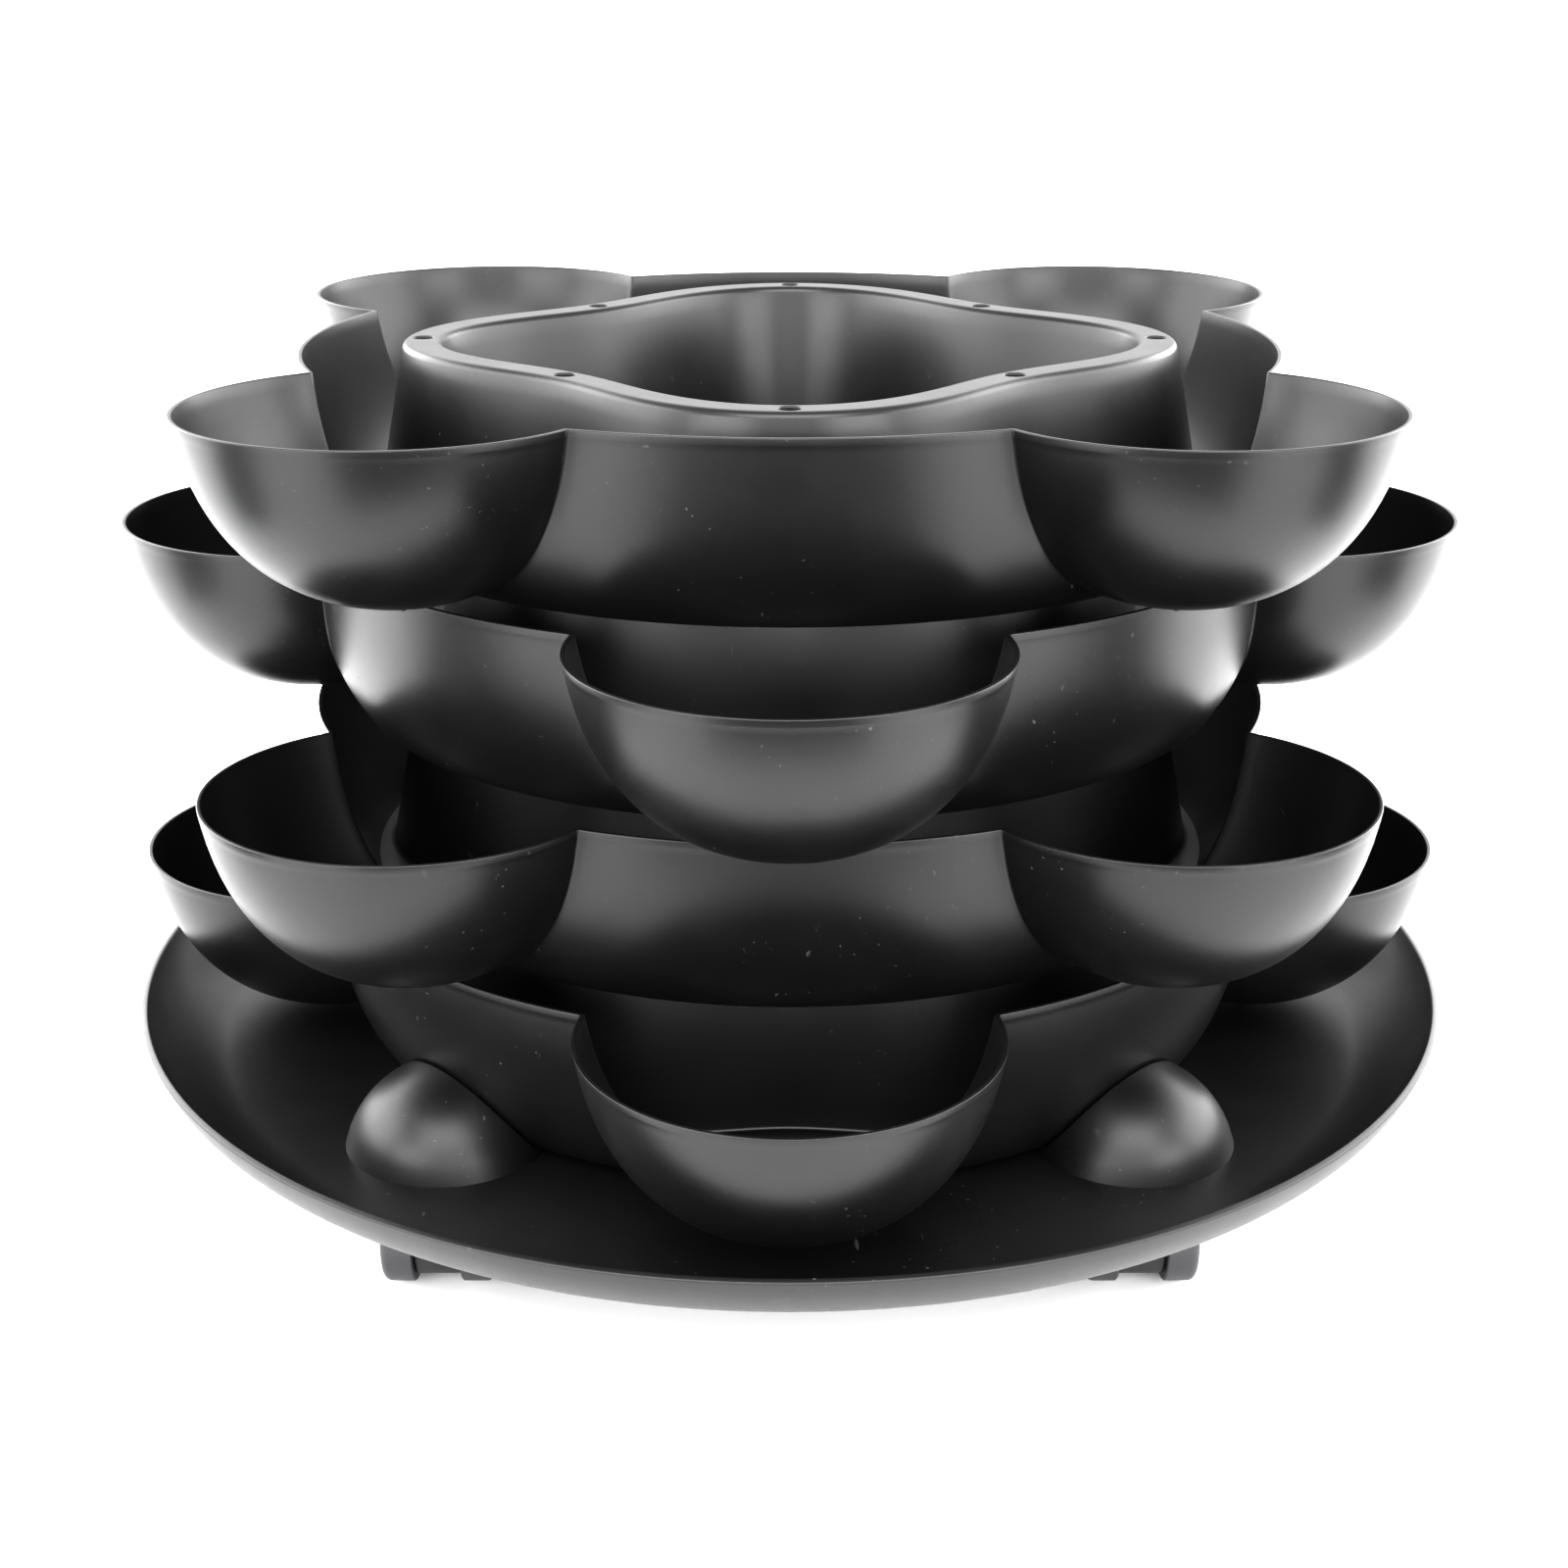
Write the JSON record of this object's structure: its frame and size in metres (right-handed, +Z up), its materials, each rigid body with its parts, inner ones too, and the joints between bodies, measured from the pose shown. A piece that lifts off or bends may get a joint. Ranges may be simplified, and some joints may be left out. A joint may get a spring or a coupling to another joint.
{
  "type": "stacking planter tower",
  "caption": "Stack of equal four-cup planter tiers, each turned an eighth, on a round rolling saucer with twin-wheel swivel casters under domes.",
  "frame": {"origin": "on the floor, on the tower's axis", "axes": "+Z up along the tower's axis; +X and +Y towards cups of the second and fourth tiers"},
  "size_m": [0.45, 0.45, 0.2805],
  "materials": {
    "tier_plastic": "satin charcoal injection moulding",
    "saucer_plastic": "satin charcoal injection moulding",
    "caster_plastic": "fine matt black",
    "wheel_plastic": "satin dark grey",
    "socket_plastic": "natural satin dark grey",
    "steel": "zinc plated"
  },
  "bodies": {
    "base": {"saucer": "saucer_plastic", "caster_1_socket": "socket_plastic", "caster_2_socket": "socket_plastic", "caster_3_socket": "socket_plastic", "caster_4_socket": "socket_plastic"},
    "tier_4": {"tier_4": "tier_plastic"},
    "tier_3": {"tier_3": "tier_plastic"},
    "tier_2": {"tier_2": "tier_plastic"},
    "tier_1": {"tier_1": "tier_plastic"},
    "caster_1": {"caster_1_hood": "caster_plastic", "caster_1_stem": "steel", "caster_1_grip_ring": "steel", "caster_1_axle": "steel"},
    "caster_1_wheel_left": {"caster_1_wheel_left": "wheel_plastic"},
    "caster_1_wheel_right": {"caster_1_wheel_right": "wheel_plastic"},
    "caster_2": {"caster_2_hood": "caster_plastic", "caster_2_stem": "steel", "caster_2_grip_ring": "steel", "caster_2_axle": "steel"},
    "caster_2_wheel_left": {"caster_2_wheel_left": "wheel_plastic"},
    "caster_2_wheel_right": {"caster_2_wheel_right": "wheel_plastic"},
    "caster_3": {"caster_3_hood": "caster_plastic", "caster_3_stem": "steel", "caster_3_grip_ring": "steel", "caster_3_axle": "steel"},
    "caster_3_wheel_left": {"caster_3_wheel_left": "wheel_plastic"},
    "caster_3_wheel_right": {"caster_3_wheel_right": "wheel_plastic"},
    "caster_4": {"caster_4_hood": "caster_plastic", "caster_4_stem": "steel", "caster_4_grip_ring": "steel", "caster_4_axle": "steel"},
    "caster_4_wheel_left": {"caster_4_wheel_left": "wheel_plastic"},
    "caster_4_wheel_right": {"caster_4_wheel_right": "wheel_plastic"}
  },
  "joints": [
    {"name": "tier_4_lift", "type": "slide", "parent": "base", "child": "tier_4", "axis": [0, 0, 1], "range_m": [0, 0.08]},
    {"name": "tier_3_lift", "type": "slide", "parent": "tier_4", "child": "tier_3", "axis": [0, 0, 1], "range_m": [0, 0.08]},
    {"name": "tier_2_lift", "type": "slide", "parent": "tier_3", "child": "tier_2", "axis": [0, 0, 1], "range_m": [0, 0.08]},
    {"name": "tier_1_lift", "type": "slide", "parent": "tier_2", "child": "tier_1", "axis": [0, 0, 1], "range_m": [0, 0.08]},
    {"name": "caster_1_swivel", "type": "hinge", "parent": "base", "child": "caster_1", "pos_m": [0.11031, 0.11031, 0.03], "axis": [0, 0, 1], "continuous": true},
    {"name": "caster_1_left_spin", "type": "hinge", "parent": "caster_1", "child": "caster_1_wheel_left", "pos_m": [0.11031, 0.10331, 0.017], "axis": [1, 0, 0], "continuous": true},
    {"name": "caster_1_right_spin", "type": "hinge", "parent": "caster_1", "child": "caster_1_wheel_right", "pos_m": [0.11031, 0.10331, 0.017], "axis": [1, 0, 0], "continuous": true},
    {"name": "caster_2_swivel", "type": "hinge", "parent": "base", "child": "caster_2", "pos_m": [-0.11031, 0.11031, 0.03], "axis": [0, 0, 1], "continuous": true},
    {"name": "caster_2_left_spin", "type": "hinge", "parent": "caster_2", "child": "caster_2_wheel_left", "pos_m": [-0.11031, 0.10331, 0.017], "axis": [1, 0, 0], "continuous": true},
    {"name": "caster_2_right_spin", "type": "hinge", "parent": "caster_2", "child": "caster_2_wheel_right", "pos_m": [-0.11031, 0.10331, 0.017], "axis": [1, 0, 0], "continuous": true},
    {"name": "caster_3_swivel", "type": "hinge", "parent": "base", "child": "caster_3", "pos_m": [-0.11031, -0.11031, 0.03], "axis": [0, 0, 1], "continuous": true},
    {"name": "caster_3_left_spin", "type": "hinge", "parent": "caster_3", "child": "caster_3_wheel_left", "pos_m": [-0.11031, -0.11731, 0.017], "axis": [1, 0, 0], "continuous": true},
    {"name": "caster_3_right_spin", "type": "hinge", "parent": "caster_3", "child": "caster_3_wheel_right", "pos_m": [-0.11031, -0.11731, 0.017], "axis": [1, 0, 0], "continuous": true},
    {"name": "caster_4_swivel", "type": "hinge", "parent": "base", "child": "caster_4", "pos_m": [0.11031, -0.11031, 0.03], "axis": [0, 0, 1], "continuous": true},
    {"name": "caster_4_left_spin", "type": "hinge", "parent": "caster_4", "child": "caster_4_wheel_left", "pos_m": [0.11031, -0.11731, 0.017], "axis": [1, 0, 0], "continuous": true},
    {"name": "caster_4_right_spin", "type": "hinge", "parent": "caster_4", "child": "caster_4_wheel_right", "pos_m": [0.11031, -0.11731, 0.017], "axis": [1, 0, 0], "continuous": true}
  ]
}
